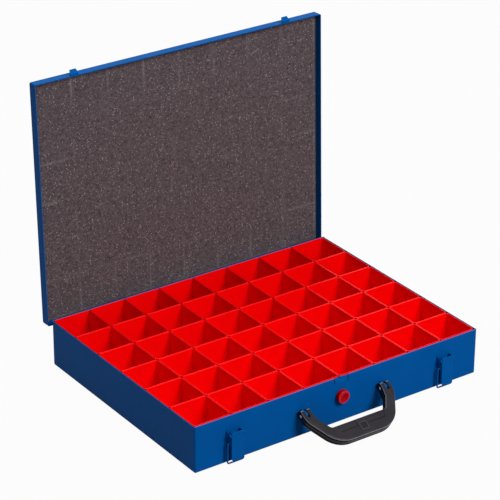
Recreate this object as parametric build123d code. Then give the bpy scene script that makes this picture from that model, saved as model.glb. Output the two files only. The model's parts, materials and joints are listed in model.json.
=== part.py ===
from build123d import *
import os

# A sheet-steel carrying case: base tray, hinged lid, lift-out bins, two toggle latches,
# push-button lock and a folding handle.
# Millimetres. Origin: centre of the base's underside. +X runs along the front, -Y faces the front, +Z is up.
# The lid stands open against its hinge stops. "out" is a distance in front of the base's front face.

# Bins
bin_pitch = 54.0
bin_columns = 8
bin_rows = 6
bin_height = 63.1
bin_gap = 0.4
bin_wall = 1.1
bin_draft = 2.0
bin_corner = 3.8
bin_foot_corner = 3.3
bin_rim_round = 0.35
bin_play_x = 2.2
bin_play_y = 2.3
bin_left_gap = 0.3
bin_front_gap = 2.0
side_wall_drop = 0.8

# Base and lid sheets
sheet = 1.0
corner_radius = 2.0
fold_radius = 1.8
lid_clearance = 1.1
lid_depth = 14.35
foam_thickness = 3.7
foam_over_bins = 0.5
foam_inset = 1.0
lid_open_angle = 92.0

# Keeper tongues of the lid
keeper_root_width = 12.0
keeper_tip_width = 8.4
keeper_flat = 2.7
keeper_rise = 4.1
keeper_reach = 4.7

# Hinges
hinge_inset = 78.0
hinge_width = 40.0
hinge_knuckle_width = 16.0
hinge_knuckle_gap = 0.2
hinge_leaf = 1.0
hinge_knuckle_radius = 2.7
hinge_turning_gap = 0.2
hinge_leaf_lap = 0.1
hinge_pin_radius = 1.5
hinge_pin_play = 0.06
hinge_pin_head = 2.2
hinge_pin_head_length = 0.8
hinge_below_rim = 3.6
hinge_base_leaf_height = 19.0
hinge_stop_gap = 0.02
hinge_rivet_spread = 26.0
hinge_rivet_drop = 13.0
hinge_lid_rivet_below_top = 3.7
hinge_lid_leaf_below_top = 0.6
hinge_lid_leaf_above_rim = 0.3

# Rivets
rivet_radius = 1.4
rivet_play = 0.05
rivet_head_radius = 2.6
rivet_head_height = 1.1
rivet_head_round = 0.6
rivet_tail_radius = 1.7
rivet_tail_height = 0.7

# Toggle latches
latch_inset = 55.4
latch_plate_width = 20.4
latch_plate_thickness = 1.0
latch_plate_above_pivot = 6.5
latch_plate_below_pivot = 30.0
latch_plate_corner = 2.0
latch_rivet_high = 10.0
latch_rivet_low = 25.0
latch_pivot_below_rim = 14.65
latch_pivot_out = 7.5
latch_ear_thickness = 1.2
latch_ear_radius = 2.6
latch_ear_root = 6.0
latch_pin_radius = 1.5
latch_pin_seat_play = 0.02
latch_pin_run_play = 0.06
latch_pin_head_radius = 2.1
latch_pin_head_length = 0.4

# Latch levers
lever_side_gap = 0.3
lever_sheet = 1.0
lever_back_of_plate = 1.8
lever_above_pivot = 4.6
lever_below_pivot = 35.0
lever_foot_corner = 4.5
lever_top_corner = 0.8
lever_fold = 0.6
lever_cheek_lap = 0.3
lever_heel_out = 1.2
lever_heel_top = -1.0
lever_heel_foot = -7.0
lever_shoulder_out = 3.0
lever_shoulder_drop = 1.5
lever_crown_out = 4.0
lever_belly_margin = 3.1
lever_belly_drop = 3.6
lever_lip = 2.0
lever_lip_drop = 5.6

# Wire bails
bail_wire_radius = 1.0
bail_leg_spacing = 23.6
bail_pivot_drop = 10.9
bail_pivot_out = 5.7
bail_play = 0.08
bail_bend = 2.2
bail_end_inside = 0.3
bail_keeper_gap = 0.3

# Lock and push button
lock_offset = 1.1
tongue_width = 20.0
slit_width = 0.9
slit_depth = 8.4
tongue_drop = 0.8
dish_radius = 36.25
dish_depth = 1.325
dish_above = 3.0
button_below_rim = 26.4
button_radius = 8.7
button_proud = 7.0
button_stroke = 1.0
button_stop_gap = 0.3
button_wall = 2.2
button_face = 1.4
button_dish_radius = 6.4
button_dish_depth = 1.6
button_edge_round = 0.7
stem_radius = 2.5
stem_play = 0.08
stem_neck_radius = 1.4
stem_neck_play = 0.02
stem_head_radius = 1.5
stem_head_length = 0.4
spacer_radius = 3.3
spacer_thickness = 1.25
stack_gap = 0.02
catch_sheet = 0.5
catch_arm_width = 1.8
catch_pad_half = 2.6
nose_reach = 0.7
nose_gap = 0.05
nib_radius = 1.2
nib_length = 12.0
nib_below_nose = 0.35
nib_dent_radius = 0.6
spring_radius = 4.6
spring_wire_radius = 0.25
spring_turns = 2.5
spring_seat_gap = 0.05

# Handle
handle_spread = 122.6
handle_off_middle = 0.7
handle_above_middle = 0.9
handle_pivot_out = 8.0
handle_droop = 31.0
handle_thickness = 13.6
fork_width = 13.3
fork_slot_width = 5.0
fork_slot_floor = 7.0
arm_outer_bend = 11.7
grip_outer_half = 43.3
grip_reach = 53.5
grip_inner_half = 42.0
grip_inner_reach = 30.0
arm_inner_half = 52.0
arm_inner_bend = 14.0
arm_inner_root = 2.0
arm_outer_round = 25.0
grip_outer_round = 34.0
handle_inner_round = 5.0
arm_root_round = 4.0
handle_edge_round = 1.8
corner_digits = 3
handle_seam = 0.4
handle_cavity_half = 30.0
handle_cavity_margin = 5.5
handle_cavity_depth = 3.4
handle_pin_radius = 2.0
handle_pin_seat_play = 0.02
handle_pin_run_play = 0.08
badge_size = 12.6
badge_thickness = 1.0
badge_play = 0.1
badge_proud = 0.45
badge_field_inset = 2.4
badge_field_depth = 0.5
panel_depth = 0.45
panel_start = 8.0
panel_end = 36.5
panel_middle_end = 34.0
panel_near_edge = 2.4
panel_far = 40.4
panel_line_width = 0.9
panel_line_depth = 1.3
belt_groove_depth = 1.0
belt_groove_width = 2.2
belt_groove_centre = 3.1

# Handle brackets
bracket_plate_half = 12.0
bracket_plate_thickness = 1.2
bracket_play = 1.3
bracket_slot_play = 0.1
bracket_end_radius = 5.0
bracket_heel = 6.7
bracket_heel_out = 3.87
bracket_heel_top_out = 4.9
bracket_root_drop = 7.2

# Worked out from the sizes above
grid_width = bin_columns * bin_pitch - bin_gap
grid_depth = bin_rows * bin_pitch - bin_gap
base_width = grid_width + bin_play_x + 2 * sheet
base_depth = grid_depth + bin_play_y + 2 * sheet
base_height = sheet + bin_height
front = -base_depth / 2
rear = base_depth / 2
grid_left = -base_width / 2 + sheet + bin_left_gap - bin_gap / 2
grid_front = front + sheet + bin_front_gap - bin_gap / 2
closed_height = sheet + bin_height + foam_over_bins + foam_thickness + sheet
lid_width = base_width + 2 * (lid_clearance + sheet)
lid_length = base_depth + 2 * (lid_clearance + sheet)
lid_rim = closed_height - lid_depth
lid_inner = lid_clearance
lid_outer = lid_clearance + sheet
hinge_y = rear + hinge_leaf + hinge_knuckle_radius - hinge_leaf_lap
hinge_z = lid_rim - hinge_below_rim
hinge_rivet_z = hinge_z - hinge_rivet_drop
hinge_lid_rivet_z = closed_height - hinge_lid_rivet_below_top
lid_knuckle_radius = hinge_knuckle_radius - hinge_turning_gap
latch_z = lid_rim - latch_pivot_below_rim
hinge_offset = base_width / 2 - hinge_inset
latch_offset = base_width / 2 - latch_inset
lever_half = latch_plate_width / 2 - latch_ear_thickness - lever_side_gap
lever_plate_out = latch_pivot_out + lever_back_of_plate
bail_z = latch_z - bail_pivot_drop
crook_out = lid_outer + bail_keeper_gap + bail_wire_radius
crook_z = lid_rim + sheet + bail_wire_radius
bail_length = ((bail_pivot_out - crook_out) ** 2 + (crook_z - bail_z) ** 2) ** 0.5
junction_x = grid_left + (bin_columns // 2) * bin_pitch
lock_x = junction_x + lock_offset
tongue_top = base_height - tongue_drop
button_z = base_height - button_below_rim
button_back = button_stroke + button_stop_gap
handle_z = base_height / 2 + handle_above_middle
nose_bottom = tongue_top + nose_gap


def point(out, z):
    """A place in the Y-Z plane, from its distance in front of the front face."""
    return (front - out, z)


def block(x0, x1, y0, y1, z0, z1):
    box = Box(abs(x1 - x0), abs(y1 - y0), abs(z1 - z0))
    return Pos((x0 + x1) / 2, (y0 + y1) / 2, (z0 + z1) / 2) * box


def front_block(x0, x1, out0, out1, z0, z1):
    return block(x0, x1, front - out0, front - out1, z0, z1)


def rod_x(x0, x1, y, z, radius):
    return Pos((x0 + x1) / 2, y, z) * Rot(0, 90, 0) * Cylinder(radius, abs(x1 - x0))


def rod_y(x, y0, y1, z, radius):
    return Pos(x, (y0 + y1) / 2, z) * Rot(90, 0, 0) * Cylinder(radius, abs(y1 - y0))


def front_rod(x, out0, out1, z, radius):
    return rod_y(x, front - out0, front - out1, z, radius)


def side_plate(x0, x1, points):
    """A plate between x0 and x1 whose outline is drawn in the Y-Z plane."""
    return extrude(Plane.YZ.offset(x0) * Polygon(*points, align=None), x1 - x0, dir=(1, 0, 0))


def about(y, z, angle, shape):
    """The shape turned about an axis along X that passes through y, z."""
    return Pos(0, y, z) * Rot(angle, 0, 0) * Pos(0, -y, -z) * shape


def opened(shape):
    """From the closed lid's place to the open lid's place."""
    return about(hinge_y, hinge_z, -lid_open_angle, shape)


def pan(width, depth, height):
    """A folded sheet pan, open at the top, its floor on z = 0."""
    low = (Align.CENTER, Align.CENTER, Align.MIN)
    outer = Box(width, depth, height, align=low)
    outer = fillet(outer.edges().filter_by(Axis.Z), corner_radius)
    outer = fillet(outer.edges().group_by(Axis.Z)[0], fold_radius)
    inner = Pos(0, 0, sheet) * Box(width - 2 * sheet, depth - 2 * sheet, height, align=low)
    inner = fillet(inner.edges().filter_by(Axis.Z), corner_radius - sheet)
    inner = fillet(inner.edges().group_by(Axis.Z)[0], fold_radius - sheet)
    return outer - inner


def rivet(x, y, z, grip, way):
    """A rivet along Y: the head's seat at y, pointing along way, the tail beyond the grip."""
    head = Cylinder(rivet_head_radius, rivet_head_height, align=(Align.CENTER, Align.CENTER, Align.MIN))
    head = fillet(head.edges().group_by(Axis.Z)[-1], rivet_head_round)
    shank = Pos(0, 0, -grip / 2) * Cylinder(rivet_radius, grip)
    tail = Pos(0, 0, -grip - rivet_tail_height / 2) * Cylinder(rivet_tail_radius, rivet_tail_height)
    return Pos(x, y, z) * Rot(-90 * way, 0, 0) * (head + shank + tail)


def latch_rivet_places():
    return [
        (side * latch_offset, latch_z - drop)
        for side in (-1, 1)
        for drop in (latch_rivet_high, latch_rivet_low)
    ]


def hinge_rivet_columns():
    return [
        side * hinge_offset + half * hinge_rivet_spread / 2
        for side in (-1, 1)
        for half in (-1, 1)
    ]


def fork_places():
    """The fork's middles in the handle's own level place."""
    return [-handle_spread / 2, handle_spread / 2]


def handle_places():
    return [handle_off_middle + x for x in fork_places()]


def base_tray():
    tray = pan(base_width, base_depth, base_height)
    for side in (-1, 1):
        tray -= side_wall_gap(side)
    tray = tray + tongue_back()
    tray = tray - dish_ball(0)
    for side in (-1, 1):
        slit_x = lock_x + side * (tongue_width + slit_width) / 2
        tray -= front_block(
            slit_x - slit_width / 2,
            slit_x + slit_width / 2,
            sheet,
            -2 * sheet,
            base_height - slit_depth,
            base_height + sheet,
        )
    half = tongue_width / 2
    tray -= front_block(lock_x - half, lock_x + half, sheet, -2 * sheet, tongue_top, base_height + sheet)
    tray -= front_rod(lock_x, sheet, -2 * sheet, button_z, stem_radius + stem_play)
    for x in handle_places():
        tray -= bracket_slot(x)
    for x, z in latch_rivet_places():
        tray -= front_rod(x, sheet, -2 * sheet, z, rivet_radius + rivet_play)
    for x in hinge_rivet_columns():
        tray -= rod_y(x, rear - 2 * sheet, rear + sheet, hinge_rivet_z, rivet_radius + rivet_play)
    return tray


def side_wall_gap(side):
    """What is missing above an end wall, which is a little lower than the front and rear walls."""
    near = front + corner_radius
    far = rear - corner_radius
    inner = side * (base_width / 2 - 2 * sheet)
    outer = side * (base_width / 2 + sheet)
    return block(inner, outer, near, far, base_height - side_wall_drop, base_height + sheet)


def dish_ball(extra):
    """The ball whose cap is the dish in the tongue, grown by extra for the back of the sheet."""
    centre_y = front - dish_radius + dish_depth
    return Pos(lock_x, centre_y, tongue_top + dish_above) * Sphere(dish_radius + extra)


def tongue_back():
    """The sheet that the dish pushes in behind the front wall."""
    half = tongue_width / 2
    slab = front_block(
        lock_x - half, lock_x + half, -sheet, -sheet - 2 * dish_depth, base_height - slit_depth, tongue_top
    )
    return slab & dish_ball(sheet)


def bracket_slot(x):
    half = fork_slot_width / 2 - bracket_play + bracket_slot_play
    return front_block(
        x - half,
        x + half,
        sheet,
        -2 * sheet,
        handle_z - bracket_root_drop - bracket_slot_play,
        handle_z + bracket_end_radius + bracket_slot_play,
    )


def keeper(x):
    """A tongue folded out and up from the lid's rim, in the closed lid's place."""
    ramp = (keeper_reach**2 + keeper_rise**2) ** 0.5
    along = (keeper_reach / ramp, keeper_rise / ramp)
    knee = lid_outer + keeper_flat
    tip = knee + keeper_reach
    over = sheet * (1 - along[0]) / along[1]
    outline = [
        point(lid_inner, lid_rim),
        point(knee, lid_rim),
        point(tip, lid_rim + keeper_rise),
        point(tip - sheet * along[1], lid_rim + keeper_rise + sheet * along[0]),
        point(knee - over, lid_rim + sheet),
        point(lid_inner, lid_rim + sheet),
    ]
    bar = side_plate(x - keeper_root_width / 2, x + keeper_root_width / 2, outline)
    root = keeper_root_width / 2
    end = keeper_tip_width / 2
    plan = Polygon(
        (x - root, front),
        (x + root, front),
        (x + root, front - knee),
        (x + end, front - tip),
        (x - end, front - tip),
        (x - root, front - knee),
        align=None,
    )
    return bar & extrude(Pos(0, 0, lid_rim - sheet) * plan, keeper_rise + 4 * sheet, dir=(0, 0, 1))


def nib_centre_z():
    return nose_bottom - nib_below_nose - nib_radius


def lid_nib():
    """The pressed nib inside the lid's front wall that the lock's nose holds down."""
    half = nib_length / 2
    z = nib_centre_z()
    left = lock_x - half
    right = lock_x + half
    roll = rod_x(left, right, front - lid_inner, z, nib_radius)
    return roll & front_block(left, right, lid_inner + sheet / 2, -nib_radius, z - nib_radius, z + nib_radius)


def closed_lid():
    lid = Pos(0, 0, closed_height) * Rot(180, 0, 0) * pan(lid_width, lid_length, lid_depth)
    for side in (-1, 1):
        lid += keeper(side * latch_offset)
    lid += lid_nib()
    half = nib_length / 2 - nib_dent_radius
    lid -= rod_x(lock_x - half, lock_x + half, front - lid_outer, nib_centre_z(), nib_dent_radius)
    for x in hinge_rivet_columns():
        lid -= rod_y(x, rear, rear + lid_outer + sheet, hinge_lid_rivet_z, rivet_radius + rivet_play)
    return lid


def foam_liner():
    width = lid_width - 2 * (sheet + foam_inset)
    length = lid_length - 2 * (sheet + foam_inset)
    top = closed_height - sheet
    return block(-width / 2, width / 2, -length / 2, length / 2, top - foam_thickness, top)


def hinge_base_leaf(x):
    half = hinge_width / 2
    inner = hinge_knuckle_width / 2 + hinge_knuckle_gap
    leaf = block(x - half, x + half, rear, rear + hinge_leaf, hinge_z - hinge_base_leaf_height, hinge_z)
    for x0, x1 in ((x - half, x - inner), (x + inner, x + half)):
        leaf += block(x0, x1, rear, rear + hinge_leaf, hinge_z - hinge_leaf, hinge_z + hinge_leaf)
        leaf += block(x0, x1, rear, hinge_y, hinge_z - hinge_knuckle_radius, hinge_z - hinge_pin_radius)
        leaf += rod_x(x0, x1, hinge_y, hinge_z, hinge_knuckle_radius)
    leaf -= rod_x(x - half, x + half, hinge_y, hinge_z, hinge_pin_radius + hinge_pin_play)
    for side in (-1, 1):
        rivet_x = x + side * hinge_rivet_spread / 2
        leaf -= rod_y(rivet_x, rear - sheet, rear + 2 * hinge_leaf, hinge_rivet_z, rivet_radius + rivet_play)
    return leaf


def closed_lid_leaf(x):
    half = hinge_width / 2
    neck = hinge_knuckle_width / 2
    wall = rear + lid_outer
    top = closed_height - hinge_lid_leaf_below_top - fold_radius / 2
    leaf = block(x - half, x + half, wall, wall + hinge_leaf, lid_rim + hinge_lid_leaf_above_rim, top)
    leaf += block(x - neck, x + neck, wall, wall + hinge_leaf, hinge_z, top)
    leaf += rod_x(x - neck, x + neck, hinge_y, hinge_z, lid_knuckle_radius)
    leaf -= rod_x(x - half, x + half, hinge_y, hinge_z, hinge_pin_radius + hinge_pin_play)
    for side in (-1, 1):
        rivet_x = x + side * hinge_rivet_spread / 2
        z = hinge_lid_rivet_z
        leaf -= rod_y(rivet_x, wall - sheet, wall + 2 * hinge_leaf, z, rivet_radius + rivet_play)
    return leaf


def hinge_heel(x):
    """The square heel that meets the base leaf when the lid is open."""
    neck = hinge_knuckle_width / 2
    reach = hinge_y - rear - hinge_leaf - hinge_stop_gap
    heel = block(x - neck, x + neck, hinge_y - reach, hinge_y, hinge_z - reach, hinge_z)
    return heel - rod_x(x - neck, x + neck, hinge_y, hinge_z, hinge_pin_radius + hinge_pin_play)


def hinge_lid_leaf(x):
    return opened(closed_lid_leaf(x)) + hinge_heel(x)


def hinge_pin(x):
    half = hinge_width / 2 + hinge_knuckle_gap
    pin = rod_x(x - half, x + half, hinge_y, hinge_z, hinge_pin_radius)
    for side in (-1, 1):
        start = x + side * half
        end = start + side * hinge_pin_head_length
        pin += rod_x(start, end, hinge_y, hinge_z, hinge_pin_head)
    return pin


def hinge_base_rivets():
    grip = hinge_leaf + sheet
    return [rivet(x, rear + hinge_leaf, hinge_rivet_z, grip, 1) for x in hinge_rivet_columns()]


def hinge_lid_rivets():
    seat = rear + lid_outer + hinge_leaf
    grip = hinge_leaf + sheet
    return [opened(rivet(x, seat, hinge_lid_rivet_z, grip, 1)) for x in hinge_rivet_columns()]


def bin_solid():
    low = bin_pitch - bin_gap - 2 * bin_draft
    high = bin_pitch - bin_gap
    foot = RectangleRounded(low, low, bin_foot_corner)
    rim = Pos(0, 0, bin_height) * RectangleRounded(high, high, bin_corner)
    outer = loft([foot, rim])
    inset = bin_draft * bin_wall / bin_height
    low_in = low - 2 * bin_wall + 2 * inset
    high_in = high - 2 * bin_wall
    floor = Pos(0, 0, bin_wall) * RectangleRounded(low_in, low_in, bin_foot_corner - bin_wall)
    mouth = Pos(0, 0, bin_height) * RectangleRounded(high_in, high_in, bin_corner - bin_wall)
    cup = outer - loft([floor, mouth])
    return fillet(cup.edges().group_by(Axis.Z)[-1], bin_rim_round)


def bin_row(row, cup):
    """One row of bins along X. Row 0 is the front one."""
    y = grid_front + (row + 0.5) * bin_pitch
    return [
        Pos(grid_left + (column + 0.5) * bin_pitch, y, sheet) * cup
        for column in range(bin_columns)
    ]


def latch_plate(x):
    half = latch_plate_width / 2
    thick = latch_plate_thickness
    foot = latch_z - latch_plate_below_pivot
    top = latch_z + latch_plate_above_pivot
    plate = front_block(x - half, x + half, 0, thick, foot, top)
    plate = fillet(plate.edges().filter_by(Axis.Y), latch_plate_corner)
    outline = [
        point(0, latch_z - latch_ear_root),
        point(0, latch_z + latch_ear_root - latch_plate_corner),
        point(latch_pivot_out, latch_z + latch_ear_radius),
        point(latch_pivot_out, latch_z - latch_ear_radius),
    ]
    for x0 in (x - half, x + half - latch_ear_thickness):
        x1 = x0 + latch_ear_thickness
        plate += side_plate(x0, x1, outline)
        plate += rod_x(x0, x1, front - latch_pivot_out, latch_z, latch_ear_radius)
    pin_hole = latch_pin_radius + latch_pin_seat_play
    plate -= rod_x(x - half, x + half, front - latch_pivot_out, latch_z, pin_hole)
    for drop in (latch_rivet_high, latch_rivet_low):
        plate -= front_rod(x, -thick, 2 * thick, latch_z - drop, rivet_radius + rivet_play)
    return plate


def latch_pin(x):
    half = latch_plate_width / 2 + latch_pin_seat_play
    y = front - latch_pivot_out
    pin = rod_x(x - half, x + half, y, latch_z, latch_pin_radius)
    for side in (-1, 1):
        start = x + side * half
        pin += rod_x(start, start + side * latch_pin_head_length, y, latch_z, latch_pin_head_radius)
    return pin


def latch_rivets():
    grip = latch_plate_thickness + sheet
    return [rivet(x, front - latch_plate_thickness, z, grip, -1) for x, z in latch_rivet_places()]


def lever_cheek_outline():
    top = latch_z + lever_above_pivot
    foot = latch_z - lever_below_pivot
    back = lever_plate_out
    return [
        point(back + lever_cheek_lap, top - lever_top_corner),
        point(back, top),
        point(lever_crown_out, top),
        point(lever_shoulder_out, top - lever_shoulder_drop),
        point(lever_heel_out, latch_z + lever_heel_top),
        point(lever_heel_out, latch_z + lever_heel_foot),
        point(bail_pivot_out - lever_belly_margin, bail_z - lever_belly_drop),
        point(back - lever_lip, bail_z - lever_lip_drop),
        point(back - lever_lip, foot + lever_foot_corner + lever_lip),
        point(back + lever_cheek_lap, foot + lever_foot_corner),
    ]


def latch_lever(x):
    top = latch_z + lever_above_pivot
    foot = latch_z - lever_below_pivot
    front_face = lever_plate_out + lever_sheet
    face = front_block(x - lever_half, x + lever_half, lever_plate_out, front_face, foot, top)
    corners = face.edges().filter_by(Axis.Y).group_by(Axis.Z)
    face = fillet(corners[0], lever_foot_corner)
    face = fillet(face.edges().filter_by(Axis.Y).group_by(Axis.Z)[-1], lever_top_corner)
    lever = fillet(face.edges().group_by(Axis.Y)[0], lever_fold)
    for x0 in (x - lever_half, x + lever_half - lever_sheet):
        lever += side_plate(x0, x0 + lever_sheet, lever_cheek_outline())
    pivot_hole = latch_pin_radius + latch_pin_run_play
    bail_hole = bail_wire_radius + bail_play
    lever -= rod_x(x - lever_half, x + lever_half, front - latch_pivot_out, latch_z, pivot_hole)
    lever -= rod_x(x - lever_half, x + lever_half, front - bail_pivot_out, bail_z, bail_hole)
    return lever


def latch_bail(x):
    leg = bail_leg_spacing / 2
    end = lever_half - lever_sheet - bail_end_inside
    y = front - bail_pivot_out
    bar_z = bail_z - bail_length
    route = FilletPolyline(
        (x - end, y, bail_z),
        (x - leg, y, bail_z),
        (x - leg, y, bar_z),
        (x + leg, y, bar_z),
        (x + leg, y, bail_z),
        (x + end, y, bail_z),
        radius=bail_bend,
    )
    section = Plane(origin=route @ 0, z_dir=route % 0) * Circle(bail_wire_radius)
    return sweep(section, path=route)


def push_button():
    depth = button_proud - button_back
    cap = Cylinder(button_radius, depth, align=(Align.CENTER, Align.CENTER, Align.MIN))
    cap = fillet(cap.edges().group_by(Axis.Z)[-1], button_edge_round)
    ball = (button_dish_radius**2 + button_dish_depth**2) / (2 * button_dish_depth)
    cap -= Pos(0, 0, depth + ball - button_dish_depth) * Sphere(ball)
    bore = depth - button_dish_depth - button_face
    cap -= Cylinder(button_radius - button_wall, bore, align=(Align.CENTER, Align.CENTER, Align.MIN))
    cap = Pos(lock_x, front - button_back, button_z) * Rot(90, 0, 0) * cap
    neck_end = -sheet - stack_gap - spacer_thickness - catch_sheet - 3 * stack_gap
    stem = front_rod(lock_x, button_back + bore, -sheet - stack_gap, button_z, stem_radius)
    stem += front_rod(lock_x, -sheet, neck_end - stem_head_length / 2, button_z, stem_neck_radius)
    stem += front_rod(lock_x, neck_end, neck_end - stem_head_length, button_z, stem_head_radius)
    return cap + stem


def button_spacer():
    near = -sheet - 2 * stack_gap
    far = near - spacer_thickness + stack_gap
    ring = front_rod(lock_x, near, far, button_z, spacer_radius)
    return ring - stem_hole(near, far)


def stem_hole(near, far):
    return front_rod(lock_x, near + sheet, far - sheet, button_z, stem_neck_radius + stem_neck_play)


def lock_catch():
    """Pad on the button's stem, arm up the gap between the bins, nose over the tongue."""
    near = -sheet - spacer_thickness - 3 * stack_gap
    far = near - catch_sheet
    left = junction_x - catch_arm_width / 2
    right = junction_x + catch_arm_width / 2
    nose_top = nose_bottom + catch_sheet
    pad_foot = button_z - catch_pad_half
    pad_top = button_z + catch_pad_half
    catch = front_block(left, lock_x + catch_pad_half, near, far, pad_foot, pad_top)
    catch += front_block(left, right, near, far, button_z, nose_top)
    catch += front_block(left, right, nose_reach, far, nose_bottom, nose_top)
    return catch - stem_hole(near, far)


def button_spring():
    bore = button_proud - button_back - button_dish_depth - button_face
    height = button_back + bore - 2 * (spring_wire_radius + spring_seat_gap)
    start = spring_wire_radius + spring_seat_gap
    coil = Helix(
        pitch=height / spring_turns,
        height=height,
        radius=spring_radius,
        center=(lock_x, front - start, button_z),
        direction=(0, -1, 0),
    )
    section = Plane(origin=coil @ 0, z_dir=coil % 0) * Circle(spring_wire_radius)
    return sweep(section, path=coil, is_frenet=True)


def drooped(shape):
    """From the handle's level place, its pivot on the X axis, to its place on the case."""
    return Pos(handle_off_middle, front - handle_pivot_out, handle_z) * Rot(handle_droop, 0, 0) * shape


def near_corners(outline, reaches):
    """The outline's corners whose distance from the pivot axis is one of the reaches."""
    return [v for v in outline.vertices() if round(-v.Y, corner_digits) in reaches]


def handle_outline():
    """The handle seen from above when level, its pivot axis on X and its grip towards -Y."""
    fork_out = (handle_spread + fork_width) / 2
    fork_in = (handle_spread - fork_width) / 2
    end = handle_thickness / 2
    right = [
        (fork_in, end),
        (fork_out, end),
        (fork_out, -arm_outer_bend),
        (grip_outer_half, -grip_reach),
    ]
    inner = [
        (grip_inner_half, -grip_inner_reach),
        (arm_inner_half, -arm_inner_bend),
        (fork_in, -arm_inner_root),
    ]
    left = [(-x, y) for x, y in reversed(right)]
    inner_left = [(-x, y) for x, y in reversed(inner)]
    outline = Polygon(*right, *left, *inner_left, *inner, align=None)
    outline = fillet(near_corners(outline, [grip_reach]), grip_outer_round)
    outline = fillet(near_corners(outline, [arm_outer_bend]), arm_outer_round)
    outline = fillet(near_corners(outline, [grip_inner_reach, arm_inner_bend]), handle_inner_round)
    return fillet(near_corners(outline, [arm_inner_root]), arm_root_round)


def handle_body():
    half = handle_thickness / 2
    body = extrude(Pos(0, 0, -half) * handle_outline(), handle_thickness, dir=(0, 0, 1))
    for level in (-1, 0):
        body = fillet(body.edges().group_by(Axis.Z)[level], handle_edge_round)
    reach = grip_reach + half
    span = handle_spread
    keep = block(-span, span, -reach, 0, -half, half)
    for x in fork_places():
        keep += rod_x(x - fork_width / 2, x + fork_width / 2, 0, 0, half)
    body = body & keep
    for x in fork_places():
        slot = fork_slot_width / 2
        body -= block(x - slot, x + slot, -fork_slot_floor, span, -span, span)
        body -= rod_x(x - fork_width, x + fork_width, 0, 0, handle_pin_radius + handle_pin_seat_play)
    return body


def grip_middle():
    return -(grip_inner_reach + grip_reach) / 2


def handle_cavity():
    near = -grip_inner_reach - handle_cavity_margin
    far = -grip_reach + handle_cavity_margin
    half = handle_cavity_half
    depth = handle_cavity_depth
    return block(-half, half, near, far, -depth, depth)


def belt_grooves():
    """Two shallow grooves round the sides of the arms and the grip, one each side of the seam."""
    outline = handle_outline()
    skin = outline - offset(outline, -belt_groove_depth)
    ring = extrude(skin, belt_groove_width, dir=(0, 0, 1))
    big = 4 * handle_spread
    below_fork = block(-big, big, -big, -fork_slot_floor - sheet, -big, big)
    ring = ring & below_fork
    start = belt_groove_centre - belt_groove_width / 2
    return [Pos(0, 0, start) * ring, Pos(0, 0, -start - belt_groove_width) * ring]


def grip_panels():
    """A shallow recess on each side of the square inlay, from near the inner edge to the grip's middle."""
    low = handle_thickness / 2 - panel_depth
    near = -grip_inner_reach - panel_near_edge
    panels = []
    for side in (-1, 1):
        plan = Polygon(
            (side * panel_start, near),
            (side * panel_end, near),
            (side * panel_middle_end, -panel_far),
            (side * panel_start, -panel_far),
            align=None,
        )
        panels.append(extrude(Pos(0, 0, low) * plan, 2 * panel_depth, dir=(0, 0, 1)))
    return panels


def panel_lines():
    """A narrow groove along the far edge of each recess."""
    top = handle_thickness / 2
    far = -panel_far
    lines = []
    for side in (-1, 1):
        start = side * panel_start
        end = side * panel_middle_end
        lines.append(block(start, end, far, far + panel_line_width, top - panel_line_depth, top + sheet))
    return lines


def badge_block(size, low, high):
    middle = grip_middle()
    half = size / 2
    return block(-half, half, middle - half, middle + half, low, high)


def handle_shells():
    """The upper and lower half, with a fine V along the seam."""
    body = handle_body() - handle_cavity()
    for groove in belt_grooves():
        body -= groove
    big = 4 * handle_spread
    upper = body & block(-big, big, -big, big, 0, handle_thickness)
    lower = body & block(-big, big, -big, big, -handle_thickness, 0)
    top = handle_thickness / 2
    seat = badge_size + 2 * badge_play
    upper -= badge_block(seat, top - badge_thickness - badge_play, top + sheet)
    for recess in grip_panels() + panel_lines():
        upper -= recess
    return seamed(upper), seamed(lower)


def seamed(shell):
    """The shell with the outer edges of its mating face chamfered along the arms and the grip."""
    mating = [f for f in shell.faces().filter_by(Plane.XY) if abs(f.center().Z) < handle_seam]
    face = max(mating, key=lambda f: f.area)
    edges = [e for e in face.outer_wire().edges() if e.center().Y < -fork_slot_floor - sheet]
    return chamfer(edges, handle_seam)


def handle_badge():
    """A square frame standing a little proud, its field blank and sunk."""
    top = handle_thickness / 2
    frame_top = top + badge_proud
    badge = badge_block(badge_size, top - badge_thickness, frame_top)
    field = badge_size - 2 * badge_field_inset
    return badge - badge_block(field, frame_top - badge_field_depth, frame_top + sheet)


def handle_pin(x):
    half = fork_width / 2 + handle_pin_seat_play
    return rod_x(x - half, x + half, 0, 0, handle_pin_radius)


def handle_bracket(x):
    half = fork_slot_width / 2 - bracket_play
    y = front - handle_pivot_out
    plate = front_block(
        x - bracket_plate_half,
        x + bracket_plate_half,
        -sheet,
        -sheet - bracket_plate_thickness,
        handle_z - bracket_plate_half,
        handle_z + bracket_plate_half,
    )
    tongue = front_block(
        x - half,
        x + half,
        -sheet - bracket_plate_thickness / 2,
        handle_pivot_out,
        handle_z - bracket_root_drop,
        handle_z + bracket_end_radius,
    )
    tongue += rod_x(x - half, x + half, y, handle_z, bracket_end_radius)
    heel = [
        (y, handle_z - bracket_root_drop),
        (y - bracket_heel_out, handle_z - bracket_heel),
        (y - bracket_heel_top_out, handle_z),
        (y, handle_z),
    ]
    tongue += side_plate(x - half, x + half, heel)
    bore = handle_pin_radius + handle_pin_run_play
    return plate + tongue - rod_x(x - half, x + half, y, handle_z, bore)


def write(name, shape):
    """One STEP file for a node; a list is a node of several separate solids."""
    if isinstance(shape, list):
        shape = Compound(children=shape)
    shape.label = name
    export_step(shape, f"parts/{name}.step")


def write_case():
    write("base_tray", base_tray())
    write("lid_shell", opened(closed_lid()))
    write("foam_liner", opened(foam_liner()))
    cup = bin_solid()
    for row in range(bin_rows):
        write(f"bins_row_{row + 1}", bin_row(row, cup))


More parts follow.
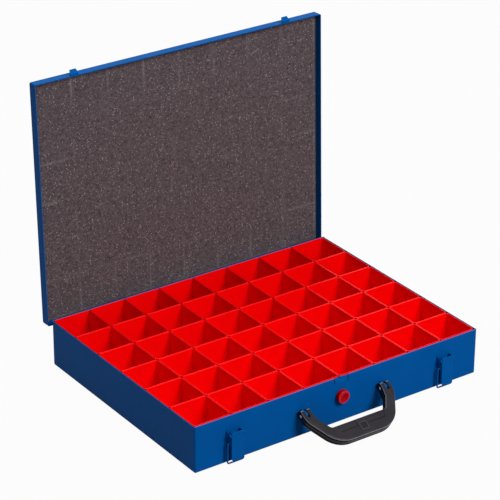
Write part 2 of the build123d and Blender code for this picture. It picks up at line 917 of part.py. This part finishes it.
def write_hinges():
    for name, side in (("left", -1), ("right", 1)):
        x = side * hinge_offset
        write(f"hinge_base_leaf_{name}", hinge_base_leaf(x))
        write(f"hinge_lid_leaf_{name}", hinge_lid_leaf(x))
        write(f"hinge_pin_{name}", hinge_pin(x))
    write("hinge_base_rivets", hinge_base_rivets())
    write("hinge_lid_rivets", hinge_lid_rivets())


def write_latches():
    for name, side in (("left", -1), ("right", 1)):
        x = side * latch_offset
        write(f"latch_plate_{name}", latch_plate(x))
        write(f"latch_pin_{name}", latch_pin(x))
        write(f"latch_lever_{name}", latch_lever(x))
        write(f"latch_bail_{name}", latch_bail(x))
    write("latch_rivets", latch_rivets())


def write_lock():
    write("push_button", push_button())
    write("button_spacer", button_spacer())
    write("button_spring", button_spring())
    write("lock_catch", lock_catch())


def write_handle():
    upper, lower = handle_shells()
    write("handle_upper_shell", drooped(upper))
    write("handle_lower_shell", drooped(lower))
    write("handle_badge", drooped(handle_badge()))
    for name, x in zip(("left", "right"), fork_places()):
        write(f"handle_pin_{name}", drooped(handle_pin(x)))
        write(f"handle_bracket_{name}", handle_bracket(handle_off_middle + x))


os.makedirs("parts", exist_ok=True)
write_case()
write_hinges()
write_latches()
write_lock()
write_handle()
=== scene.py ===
import json
import math

import bmesh
import bpy
from mathutils import Matrix, Vector, noise


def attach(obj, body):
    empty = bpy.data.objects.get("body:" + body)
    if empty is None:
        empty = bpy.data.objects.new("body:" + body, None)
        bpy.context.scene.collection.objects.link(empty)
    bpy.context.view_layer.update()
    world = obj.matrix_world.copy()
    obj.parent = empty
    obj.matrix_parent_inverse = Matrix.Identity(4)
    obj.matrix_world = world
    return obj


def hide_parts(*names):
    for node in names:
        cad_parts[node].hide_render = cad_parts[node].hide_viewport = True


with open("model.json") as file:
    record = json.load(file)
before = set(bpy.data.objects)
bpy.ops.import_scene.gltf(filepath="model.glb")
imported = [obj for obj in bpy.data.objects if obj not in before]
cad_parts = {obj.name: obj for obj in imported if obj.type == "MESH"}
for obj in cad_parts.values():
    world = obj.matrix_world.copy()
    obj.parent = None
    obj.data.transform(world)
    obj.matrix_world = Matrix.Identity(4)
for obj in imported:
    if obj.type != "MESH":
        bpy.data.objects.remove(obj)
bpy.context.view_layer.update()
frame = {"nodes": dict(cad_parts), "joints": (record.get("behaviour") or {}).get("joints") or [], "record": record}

nodes = frame["nodes"]
scene = bpy.context.scene
scene.view_settings.view_transform = "Standard"
mm = 0.001
print("case loaded:", len(nodes), "solids")


def jointNamed(name):
    return next(j for j in frame["joints"] if j["name"] == name)


def middleOf(name):
    corners = [Vector(corner) for corner in nodes[name].bound_box]
    return sum(corners, Vector()) / len(corners)


def paint(code):
    # a written colour such as "#004c94" as the linear numbers that a socket takes
    parts = [int(code[i:i + 2], 16) / 255 for i in (1, 3, 5)]
    linear = [p / 12.92 if p <= 0.04045 else ((p + 0.055) / 1.055) ** 2.4 for p in parts]
    return (*linear, 1.0)


def mixed(first, second, share):
    # two numbers in one, where Graph.blend does it with two colours
    return first * (1 - share) + second * share


class Wire:
    # one output of a shader node, ready for sums
    def __init__(self, graph, socket):
        self.graph = graph
        self.socket = socket

    def maths(self, operation, first, second):
        return self.graph.node("Math", {"operation": operation}, {0: first, 1: second})

    def __add__(self, other):
        return self.maths("ADD", self, other)

    def __radd__(self, other):
        return self.maths("ADD", other, self)

    def __sub__(self, other):
        return self.maths("SUBTRACT", self, other)

    def __rsub__(self, other):
        return self.maths("SUBTRACT", other, self)

    def __mul__(self, other):
        return self.maths("MULTIPLY", self, other)

    def __rmul__(self, other):
        return self.maths("MULTIPLY", other, self)

    def __pow__(self, other):
        return self.maths("POWER", self, other)

    def __rpow__(self, other):
        return self.maths("POWER", other, self)

    def __abs__(self):
        return self.maths("ABSOLUTE", self, 0.0)


class Graph:
    # a tree of shader nodes, all added by its one method
    def __init__(self, tree):
        self.tree = tree

    def put(self, socket, value):
        if isinstance(value, Wire):
            self.tree.links.new(value.socket, socket)
        else:
            socket.default_value = value

    def node(self, kind, settings=None, inputs=None, output=0):
        made = self.tree.nodes.new("ShaderNode" + kind)
        for name, value in (settings or {}).items():
            setattr(made, name, value)
        for name, value in (inputs or {}).items():
            self.put(made.inputs[name], value)
        return Wire(self, made.outputs[output])

    def blend(self, mask, first, second):
        return self.node("Mix", {"data_type": "RGBA"}, {0: mask, 6: first, 7: second}, 2)

    def window(self, value, low, high):
        # 0 below low, 1 above high, smooth in between
        return self.node("MapRange", {"interpolation_type": "SMOOTHSTEP"}, {
            "Value": value, "From Min": low, "From Max": high,
        })

    def step(self, value, level, soft):
        # 0 below level and 1 above it, with a soft edge
        return self.window(value, level - soft, level + soft)

    def band(self, value, low, high, soft):
        # 1 between low and high, 0 outside
        return self.step(value, low, soft) - self.step(value, high, soft)


class Finish(Graph):
    # a material: its name, and the shader values that are the same all over
    def __init__(self, name, plain):
        self.material = bpy.data.materials.new(name)
        self.material.use_nodes = True
        super().__init__(self.material.node_tree)
        self.shader = self.tree.nodes["Principled BSDF"]
        self.feed(plain)
        self.place = self.node("TexCoord", output="Object")

    def feed(self, values):
        for name, value in values.items():
            self.put(self.shader.inputs[name], value)

    def cloud(self, scale, detail=2.0, roughness=0.5):
        # soft noise from 0 to 1, scale in lumps per metre
        return self.node("TexNoise", inputs={
            "Vector": self.place, "Scale": scale,
            "Detail": detail, "Roughness": roughness,
        })

    def cells(self, scale, output="Distance"):
        # cells per metre: the distance to each one's middle, or a random colour for each
        return self.node("TexVoronoi", inputs={"Vector": self.place, "Scale": scale}, output=output)

    def speckle(self, scale):
        # a random number from 0 to 1 for each cell
        return self.node("SeparateColor", inputs={0: self.cells(scale, "Color")})

    def along(self, origin, direction):
        # how far a point of the piece lies from origin, measured along direction
        parts = [self.node("SeparateXYZ", inputs={"Vector": self.place}, output=i) for i in range(3)]
        far = sum(part * share for part, share in zip(parts, direction))
        return far - Vector(origin).dot(Vector(direction))

    def relief(self, height, depth, strength=1.0):
        # bump of that depth in metres
        self.feed({"Normal": self.node("Bump", inputs={
            "Strength": strength, "Distance": depth, "Height": height,
        })})


powderCoat = {
    "face": "#004c90",
    "thin": "#00529a",
    "roughness": 0.42,
    "roughnessDrift": 0.10,
    "driftPerMetre": 14.0,
    "peelPerMetre": 620.0,
    "gritPerMetre": 3100.0,
    "gritInTone": 0.3,
    "gritInPeel": 0.2,
    "peelDepth": 0.06 * mm,
    "specular": 0.02,
}


def makePowderCoat(name, look, marks=None):
    coat = Finish(name, {"Specular IOR Level": look["specular"]})
    drift = coat.cloud(look["driftPerMetre"], detail=4.0, roughness=0.6)
    peel = coat.cloud(look["peelPerMetre"], roughness=0.55)
    grit = coat.cloud(look["gritPerMetre"], detail=1.0)
    tone = coat.window(mixed(drift, grit, look["gritInTone"]), low=0.35, high=0.68)
    colour = coat.blend(tone, paint(look["face"]), paint(look["thin"]))
    if marks:
        colour = marks(coat, colour, look)
    coat.feed({
        "Base Color": colour,
        "Roughness": (drift - 0.5) * look["roughnessDrift"] + look["roughness"],
    })
    coat.relief(mixed(peel, grit, look["gritInPeel"]), look["peelDepth"])
    return coat.material


trayCoat = dict(
    powderCoat,
    # rim is a painted highlight colour along the top edges of the front and rear walls
    rim="#6a62ac",
    rimHeight=63.7 * mm,
    soft=0.1 * mm,
)


def trayRimHighlight(coat, colour, look):
    # a painted highlight: paler along the rims of the front and rear walls
    height = coat.along((0, 0, 0), (0, 0, 1))
    rim = coat.step(height, look["rimHeight"], look["soft"])
    return coat.blend(rim, colour, paint(look["rim"]))


binPlastic = {
    "face": "#f00003",
    "deep": "#ea0002",
    "roughness": 0.30,
    "roughnessSpread": 0.12,
    "specular": 0.22,
    "flowPerMetre": 34.0,
    "grainPerMetre": 2600.0,
    "grainDepth": 0.01 * mm,
}


def makeMouldedPlastic(name, look, marks=None):
    # marks lays more colours over the plain one
    skin = Finish(name, {"Specular IOR Level": look["specular"]})
    flow = skin.cloud(look["flowPerMetre"], detail=3.0, roughness=0.6)
    grain = skin.cloud(look["grainPerMetre"])
    flowing = skin.window(flow, low=0.3, high=0.7)
    colour = skin.blend(flowing, paint(look["deep"]), paint(look["face"]))
    if marks:
        colour = marks(skin, colour, look)
    skin.feed({
        "Base Color": colour,
        "Roughness": (grain - 0.5) * look["roughnessSpread"] + look["roughness"],
    })
    skin.relief(grain, look["grainDepth"])
    return skin.material


smoothPlastic = {
    "roughnessSpread": 0.12,
    "specular": 0.05,
    "flowPerMetre": 90.0,
    "grainPerMetre": 3000.0,
    "grainDepth": 0.01 * mm,
}

buttonPlastic = dict(
    smoothPlastic,
    face="#a80006",
    deep="#9c0005",
    # the ring colour is a painted highlight on the rim round the sunk middle
    ring="#c4203c",
    ringFrom=6.5 * mm,
    ringTo=8.4 * mm,
    soft=0.2 * mm,
    roughness=0.24,
)

spacerPlastic = dict(
    smoothPlastic,
    face="#d8d6cc",
    deep="#cfccc0",
    roughness=0.5,
)


def ringMarks(skin, colour, look):
    # a painted highlight: the paler rim round the sunk middle of the button
    centre = middleOf("push_button")
    wide = skin.along(centre, (1, 0, 0))
    tall = skin.along(centre, (0, 0, 1))
    radius = (wide * wide + tall * tall) ** 0.5
    ring = skin.band(radius, look["ringFrom"], look["ringTo"], look["soft"])
    return skin.blend(ring, colour, paint(look["ring"]))


gripPlastic = {
    "droop": 31.0,  # degrees below level
    "roughnessSpread": 0.12,
    "specular": 0.16,
    "flowPerMetre": 60.0,
    "grainPerMetre": 3400.0,
    "grainDepth": 0.05 * mm,
}

# heights are over the middle plane of the handle, and lineFrom and lineTo are from the pins
handlePlastic = dict(
    gripPlastic,
    face="#242227",
    deep="#1e1c21",
    # painted light: the edge colour is a painted highlight on the upper rounding, and the two colours after it are
    # painted shade for the sides and the grooves
    edge="#7c7a82",
    sideShade="#141316",
    grooveShade="#050506",
    ribTop=4.9 * mm,
    edgeTop=6.15 * mm,
    grooveFrom=2.0 * mm,
    grooveTo=4.2 * mm,
    lineHalf=35.0 * mm,
    lineFrom=37.0 * mm,
    lineTo=43.0 * mm,
    soft=0.15 * mm,
    roughness=0.34,
)

badgePlastic = dict(
    gripPlastic,
    face="#333136",
    deep="#2d2b30",
    field="#17161a",
    fieldTop=7.0 * mm,
    soft=0.1 * mm,
    roughness=0.3,
)


def gripAlong(skin, look, turn):
    # distance from the handle's pins: turn 0 measures out along the grip, and 90 up across it
    lean = math.radians(turn - look["droop"])
    return skin.along(jointNamed("handle_swing")["pos_m"], (0, -math.cos(lean), math.sin(lean)))


def badgeMarks(skin, colour, look):
    # the sunk field is darker than its frame
    onFrame = skin.step(gripAlong(skin, look, 90), look["fieldTop"], look["soft"])
    return skin.blend(onFrame, paint(look["field"]), colour)


def handleShadeAndHighlights(skin, colour, look):
    # painted shade and highlight: the sides painted darker as shade, the grooves round the sides painted dark as
    # shade, the upper edges paler as a painted highlight, and a painted dark line of shade along each recess
    soft = look["soft"]
    height = gripAlong(skin, look, 90)
    level = abs(height)
    wide = abs(skin.along(jointNamed("handle_swing")["pos_m"], (1, 0, 0)))
    side = 1 - skin.step(level, look["ribTop"], soft)
    grooves = skin.band(level, look["grooveFrom"], look["grooveTo"], soft)
    edge = skin.band(height, look["ribTop"], look["edgeTop"], soft)
    sunk = 1 - skin.step(level, look["edgeTop"], soft)
    middle = 1 - skin.step(wide, look["lineHalf"], soft)
    line = middle * skin.band(gripAlong(skin, look, 0), look["lineFrom"], look["lineTo"], soft)
    for share, name in ((side, "sideShade"), (grooves, "grooveShade"), (edge, "edge"), (line * sunk, "grooveShade")):
        colour = skin.blend(share, colour, paint(look[name]))
    return colour


platedSteel = {
    "face": "#c2c4c4",
    "dull": "#9a9c9c",
    "metal": 1.0,
    "roughness": 0.23,
    "spangleRoughness": 0.10,
    "hazeRoughness": 0.12,
    "spanglePerMetre": 480.0,
    "hazePerMetre": 160.0,
    "hazeDepth": 0.04 * mm,
}

pinSteel = dict(platedSteel, face="#f6f6f6", dull="#e4e6e6", metal=0.2)


def makeSteel(name, look):
    steel = Finish(name, {"Metallic": look["metal"]})
    spangle = steel.speckle(look["spanglePerMetre"])
    haze = steel.cloud(look["hazePerMetre"], detail=4.0, roughness=0.65)
    hazy = steel.window(haze, low=0.35, high=0.7)
    uneven = spangle * look["spangleRoughness"] + haze * look["hazeRoughness"]
    steel.feed({
        "Base Color": steel.blend(hazy, paint(look["face"]), paint(look["dull"])),
        "Roughness": uneven + look["roughness"],
    })
    steel.relief(haze, look["hazeDepth"])
    return steel.material


foamLook = {
    "face": "#655a5e",
    "shade": "#372f32",
    "fleck": "#9c9496",
    "pressed": "#858082",
    "edge": "#5a6064",
    "poresPerMetre": 560.0,
    "flecksPerMetre": 520.0,
    "fleckSize": 0.42,
    "fleckCore": 0.6,  # share of a fleck that is pale all over
    "fleckShare": 0.70,
    "mottlePerMetre": 330.0,
    "mottleInTone": 0.45,
    "mottleInPores": 0.4,
    "poreDepth": 0.6 * mm,
    "poreStrength": 0.5,
    "roughness": 0.95,
    "specular": 0.05,
}


def makeFoam():
    look = foamLook
    foam = Finish("greyFoam", {
        "Roughness": look["roughness"], "Specular IOR Level": look["specular"],
    })
    pore = foam.cells(look["poresPerMetre"])
    poreTone = foam.speckle(look["poresPerMetre"])
    mottle = foam.cloud(look["mottlePerMetre"], detail=4.0, roughness=0.75)
    fleckSpot = foam.cells(look["flecksPerMetre"])
    fleckPick = foam.speckle(look["flecksPerMetre"])
    fleckEdge = foam.window(fleckSpot, look["fleckSize"] * look["fleckCore"], look["fleckSize"])
    fleck = (1 - fleckEdge) * foam.window(fleckPick, look["fleckShare"], 1.0)
    mottled = foam.window(mottle, low=0.3, high=0.7)
    tone = mixed(poreTone, mottled, look["mottleInTone"])
    body = foam.blend(tone, paint(look["shade"]), paint(look["face"]))
    for name in ("pressed", "edge"):
        share = foam.node("Attribute", {"attribute_name": name}, output=2)
        body = foam.blend(share, body, paint(look[name]))
    foam.feed({"Base Color": foam.blend(fleck, body, paint(look["fleck"]))})
    foam.relief(mixed(pore, mottle, look["mottleInPores"]), look["poreDepth"], look["poreStrength"])
    return foam.material


finishes = {
    "blue_powder_coat": makePowderCoat("bluePowderCoat", powderCoat),
    "red_bin_plastic": makeMouldedPlastic("redBinPlastic", binPlastic),
    "red_button_plastic": makeMouldedPlastic("redButtonPlastic", buttonPlastic, ringMarks),
    "black_handle_plastic": makeMouldedPlastic("blackHandlePlastic", handlePlastic, handleShadeAndHighlights),
    "plated_steel": makeSteel("platedSteel", platedSteel),
    "spacer_plastic": makeMouldedPlastic("nylonPlastic", spacerPlastic),
    "grey_foam": makeFoam(),
}
pinFinish = makeSteel("pinSteel", pinSteel)
pieceFinishes = {
    "handle_badge": makeMouldedPlastic("badgePlastic", badgePlastic, badgeMarks),
    "base_tray": makePowderCoat("trayPowderCoat", trayCoat, trayRimHighlight),
    "handle_pin_left": pinFinish,
    "handle_pin_right": pinFinish,
}
print("finishes made:", len(finishes) + len(set(pieceFinishes.values())))


def wear(thing, finish):
    thing.data.materials.clear()
    thing.data.materials.append(finish)
    for face in thing.data.polygons:
        face.material_index = 0


for part in frame["record"]["subparts"]:
    wear(nodes[part["node"]], finishes[part["material_slot"]])
for name, finish in pieceFinishes.items():
    wear(nodes[name], finish)
print("solids dressed")


linerShape = {
    "step": 2.0 * mm,
    "beyond": 0.8 * mm,  # how far the soft edge swells past the cut sheet
    "edgeRound": 0.7 * mm,
    "edgeDrop": 0.42 * mm,
    "edgeTint": 0.6,
    "edgeReach": 3.0 * mm,
    "binPitch": 54.0 * mm,
    "gridLeft": -216.8 * mm,
    "gridFront": -161.15 * mm,
    "printDepth": 0.30 * mm,
    "printWidth": 1.5 * mm,
    "printReach": 62.0 * mm,  # the bins by the walls leave the clearest lines
    "printTint": 0.5,
    "patchPerMetre": 22.0,
    "patchContrast": 0.9,
    "wave": 0.16 * mm,
    "wavePerMetre": 17.0,
}


def lidOpening():
    # the turn that takes the closed lid's place to the open one's
    hinge = jointNamed("lid_hinge")
    pivot = Matrix.Translation(Vector(hinge["pos_m"]))
    swing = max(abs(a) for a in hinge["range_deg"])
    return pivot @ Matrix.Rotation(math.radians(-swing), 4, "X") @ pivot.inverted()


def newPiece(name, mesh, finish):
    data = bpy.data.meshes.new(name)
    mesh.to_mesh(data)
    mesh.free()
    thing = bpy.data.objects.new(name, data)
    scene.collection.objects.link(thing)
    data.materials.append(finish)
    for face in data.polygons:
        face.use_smooth = True
    return thing


def makeLiner():
    shape = linerShape
    opening = lidOpening()
    closedFoam = [opening.inverted() @ v.co for v in nodes["foam_liner"].data.vertices]
    swell = Vector((shape["beyond"], shape["beyond"], 0))
    low = Vector([min(c[i] for c in closedFoam) for i in range(3)]) - swell
    high = Vector([max(c[i] for c in closedFoam) for i in range(3)]) + swell
    size = high - low
    middle = (high + low) / 2
    mesh = bmesh.new()
    pressed = mesh.verts.layers.float.new("pressed")
    tinted = mesh.verts.layers.float.new("edge")
    bmesh.ops.create_grid(
        mesh, size=0.5,
        x_segments=round(size.x / shape["step"]), y_segments=round(size.y / shape["step"]))
    bmesh.ops.scale(mesh, vec=(size.x, size.y, 1), verts=mesh.verts)
    bmesh.ops.translate(mesh, vec=(middle.x, middle.y, 0), verts=mesh.verts)
    for v in mesh.verts:
        edge = min(size.x / 2 - abs(v.co.x - middle.x), size.y / 2 - abs(v.co.y - middle.y))
        across = abs((v.co.x - shape["gridLeft"]) / shape["binPitch"] % 1 - 0.5)
        along = abs((v.co.y - shape["gridFront"]) / shape["binPitch"] % 1 - 0.5)
        toRim = (0.5 - max(across, along)) * shape["binPitch"]
        underRim = math.exp(-(toRim / shape["printWidth"]) ** 2)
        wave = 0.5 + 0.5 * noise.noise(Vector((v.co.x, v.co.y, 0)) * shape["wavePerMetre"])
        rolled = max(0.0, 1 - edge / shape["edgeRound"]) ** 2
        # the patches are cut higher up in the noise, so that they don't follow the waves
        patch = noise.noise(Vector((v.co.x, v.co.y, 3)) * shape["patchPerMetre"])
        patchy = max(0.0, min(1.0, 0.5 + patch * shape["patchContrast"]))
        nearWall = max(0.0, 1 - edge / shape["printReach"]) ** 0.5
        v[pressed] = shape["printTint"] * nearWall * patchy * underRim
        v[tinted] = shape["edgeTint"] * max(0.0, 1 - edge / shape["edgeReach"])
        dent = shape["printDepth"] * underRim + shape["wave"] * wave + shape["edgeDrop"] * rolled
        v.co.z = low.z + dent
    rim = [e for e in mesh.edges if e.is_boundary]
    skirt = bmesh.ops.extrude_edge_only(mesh, edges=rim)["geom"]
    hem = [v for v in skirt if isinstance(v, bmesh.types.BMVert)]
    for v in hem:
        v.co.z = high.z
    bmesh.ops.holes_fill(mesh, edges=[e for e in mesh.edges if e.is_boundary], sides=0)
    bmesh.ops.recalc_face_normals(mesh, faces=mesh.faces)
    bmesh.ops.transform(mesh, matrix=opening, verts=mesh.verts)
    liner = newPiece("foamLiner", mesh, finishes["grey_foam"])
    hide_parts("foam_liner")
    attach(liner, "lid")


makeLiner()
print("foam liner made")


studio = {
    "floorSize": 40.0,
    "floorColour": "#868685",
    "whiteShare": 0.965,
    "sky": 0.34,
    "keyPower": 150.0,
    "keySize": 1.5,
    "keyFrom": (0.68, -3.12, 2.86),
    "topPower": 66.0,
    "topSize": 1.8,
    "topFrom": (0.1, 1.3, 3.3),
    "aim": (0.0, 0.05, 0.1),
}

cameraView = {
    "place": (-1.571747, -2.183184, 1.503044),
    "aim": (0.109554, 0.186615, 0.0643),
    "tilt": 0.358,
    "lens": 171.04,
    "sensorWidth": 36.0,
    "nearest": 0.05,
    "farthest": 60.0,
}


def aimed(place, target, tilt=0.0):
    # at place, looking at target, turned by tilt degrees round the line of sight
    away = (Vector(target) - Vector(place)).to_track_quat("-Z", "Y").to_matrix().to_4x4()
    return Matrix.Translation(place) @ away @ Matrix.Rotation(math.radians(tilt), 4, "Z")


def seenBackground(graph):
    # 1 for the rays that show the background: camera, mirror and glass
    names = ("Is Camera Ray", "Is Glossy Ray", "Is Transmission Ray")
    camera, mirror, glass = [graph.node("LightPath", output=name) for name in names]
    return camera.maths("MAXIMUM", camera, mirror.maths("MAXIMUM", mirror, glass))


def makeFloor():
    mesh = bmesh.new()
    bmesh.ops.create_grid(mesh, x_segments=4, y_segments=4, size=studio["floorSize"] / 2)
    ground = Finish("paleFloor", {
        "Roughness": 1.0, "Specular IOR Level": 0.0, "Base Color": paint(studio["floorColour"]),
    })
    glow = ground.node("Emission", inputs={"Color": (1, 1, 1, 1), "Strength": 1.0})
    shown = ground.node("MixShader", inputs={
        0: seenBackground(ground) * studio["whiteShare"],
        1: Wire(ground, ground.shader.outputs[0]),
        2: glow,
    })
    ground.put(ground.tree.nodes["Material Output"].inputs["Surface"], shown)
    floor = newPiece("floor", mesh, ground.material)


def makeSky():
    # full white where it is seen, dimmer where it only lights the case
    world = bpy.data.worlds.new("studioSky")
    scene.world = world
    world.use_nodes = True
    sky = Graph(world.node_tree)
    level = sky.node("MapRange", inputs={
        "Value": seenBackground(sky), "To Min": studio["sky"], "To Max": 1.0,
    })
    background = sky.tree.nodes["Background"]
    sky.put(background.inputs["Color"], (1, 1, 1, 1))
    sky.put(background.inputs["Strength"], level)


def makeLamp(name, power, size, place):
    lamp = bpy.data.lights.new(name, "AREA")
    lamp.shape = "SQUARE"
    lamp.size = size
    lamp.energy = power
    holder = bpy.data.objects.new(name, lamp)
    holder.matrix_world = aimed(place, studio["aim"])
    holder.visible_camera = False
    scene.collection.objects.link(holder)


def makeCamera():
    eye = bpy.data.cameras.new("camera")
    eye.lens = cameraView["lens"]
    eye.sensor_width = cameraView["sensorWidth"]
    eye.clip_start = cameraView["nearest"]
    eye.clip_end = cameraView["farthest"]
    holder = bpy.data.objects.new("camera", eye)
    holder.matrix_world = aimed(cameraView["place"], cameraView["aim"], cameraView["tilt"])
    scene.collection.objects.link(holder)
    scene.camera = holder


makeFloor()
makeSky()
makeLamp("keyLamp", studio["keyPower"], studio["keySize"], studio["keyFrom"])
makeLamp("topLamp", studio["topPower"], studio["topSize"], studio["topFrom"])
makeCamera()
print("studio set")
